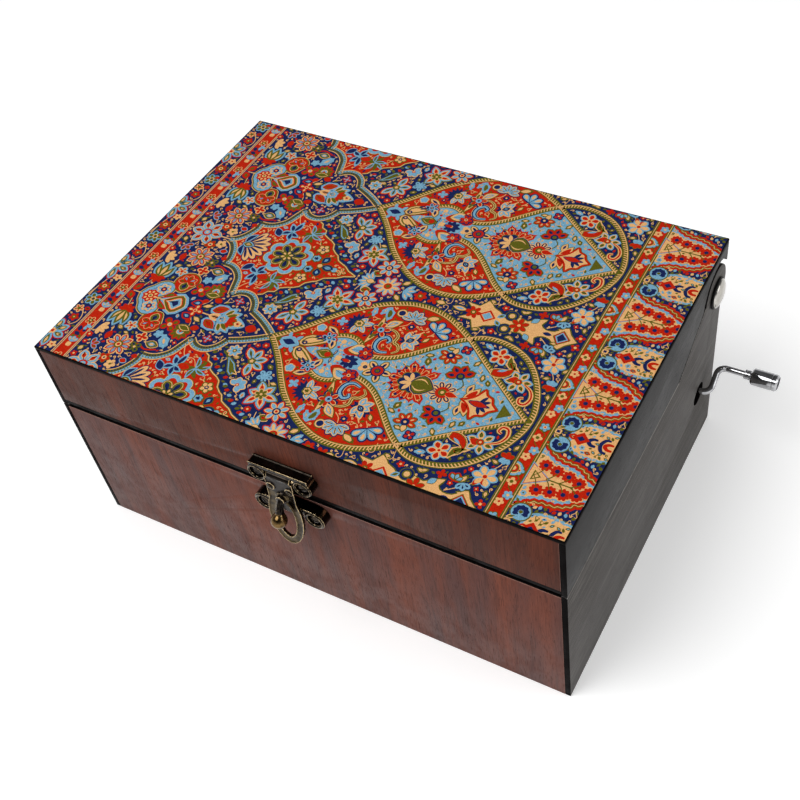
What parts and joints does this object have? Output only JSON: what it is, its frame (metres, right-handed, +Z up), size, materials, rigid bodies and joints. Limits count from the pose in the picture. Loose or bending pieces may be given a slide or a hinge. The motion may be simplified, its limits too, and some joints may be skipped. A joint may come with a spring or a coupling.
{
  "type": "music box",
  "caption": "Wooden box with a printed hinged lid, a cast hasp latch and a bent wire crank that turns a small comb movement inside.",
  "frame": {"origin": "centre of the box's underside, on the surface it stands on", "axes": "+X to the crank side, -Y to the latch side, +Z up through the printed lid"},
  "size_m": [0.2298, 0.1524, 0.0925],
  "materials": {
    "printed_lid": "traditional floral pattern printed on board under satin varnish",
    "walnut_veneer": "reddish brown veneer under satin lacquer",
    "black_lacquer": "dark grey lacquer over fine grain",
    "raw_board": "unfinished fibreboard",
    "antique_bronze": "antique bronze over a casting, brassy where it is worn",
    "chrome": "bright plated",
    "steel": "bright drawn and polished",
    "movement_brass": "turned brass",
    "cast_zinc": "grey zinc casting, as cast",
    "black_washer": "black fibre washer"
  },
  "bodies": {
    "case": {"body_floor": "raw_board", "body_front_panel": "walnut_veneer", "body_back_panel": "black_lacquer", "body_side_left": "black_lacquer", "body_side_right": "black_lacquer", "partition_board": "raw_board", "mounting_block": "raw_board", "bedplate": "cast_zinc", "bedplate_screw_1": "steel", "bedplate_screw_2": "steel", "bedplate_screw_3": "steel", "comb": "steel", "comb_clamp": "movement_brass", "comb_screw_1": "steel", "comb_screw_2": "steel", "latch_body_plate": "antique_bronze", "latch_screw_body_left": "antique_bronze", "latch_screw_body_right": "antique_bronze"},
    "lid": {"lid_print_panel": "printed_lid", "lid_top_board": "raw_board", "lid_front_panel": "walnut_veneer", "lid_side_left": "black_lacquer", "lid_side_right": "black_lacquer", "lid_back_rail": "black_lacquer", "pivot_pin_left": "chrome", "pivot_pin_right": "chrome", "pivot_washer_left": "black_washer", "pivot_washer_right": "black_washer", "latch_lid_plate": "antique_bronze", "latch_hinge_pin": "antique_bronze", "latch_screw_lid_left": "antique_bronze", "latch_screw_lid_right": "antique_bronze"},
    "hasp": {"latch_hasp": "antique_bronze"},
    "ball_lever": {"latch_ball_lever": "antique_bronze"},
    "crank": {"crank_wire": "chrome", "crank_ferrule": "chrome", "drive_worm": "movement_brass", "shaft_collar": "movement_brass"},
    "knob": {"crank_knob": "chrome"},
    "cylinder": {"cylinder_arbor": "steel", "cylinder_drum": "movement_brass", "cylinder_gear": "movement_brass", "arbor_clip": "steel"}
  },
  "joints": [
    {"name": "lid_hinge", "type": "hinge", "parent": "case", "child": "lid", "pos_m": [0, 0.0595, 0.0755], "axis": [-1, 0, 0], "range_deg": [0, 85]},
    {"name": "hasp_swing", "type": "hinge", "parent": "lid", "child": "hasp", "pos_m": [0.0004, -0.073, 0.0743], "axis": [-1, 0, 0], "range_deg": [0, 100]},
    {"name": "ball_lever_turn", "type": "hinge", "parent": "hasp", "child": "ball_lever", "pos_m": [0.0004, -0.0753, 0.0659], "axis": [0, 1, 0], "range_deg": [-90, 90]},
    {"name": "crank_spin", "type": "hinge", "parent": "case", "child": "crank", "pos_m": [0.1, 0.05, 0.0333], "axis": [1, 0, 0], "continuous": true},
    {"name": "knob_spin", "type": "hinge", "parent": "crank", "child": "knob", "pos_m": [0.12, 0.05953, 0.0388], "axis": [1, 0, 0], "continuous": true},
    {"name": "cylinder_spin", "type": "hinge", "parent": "case", "child": "cylinder", "pos_m": [0.076, 0.03, 0.04385], "axis": [0, 1, 0], "continuous": true}
  ],
  "couplings": [
    {"joint": "cylinder_spin", "follows": "crank_spin", "ratio": 0.05}
  ]
}
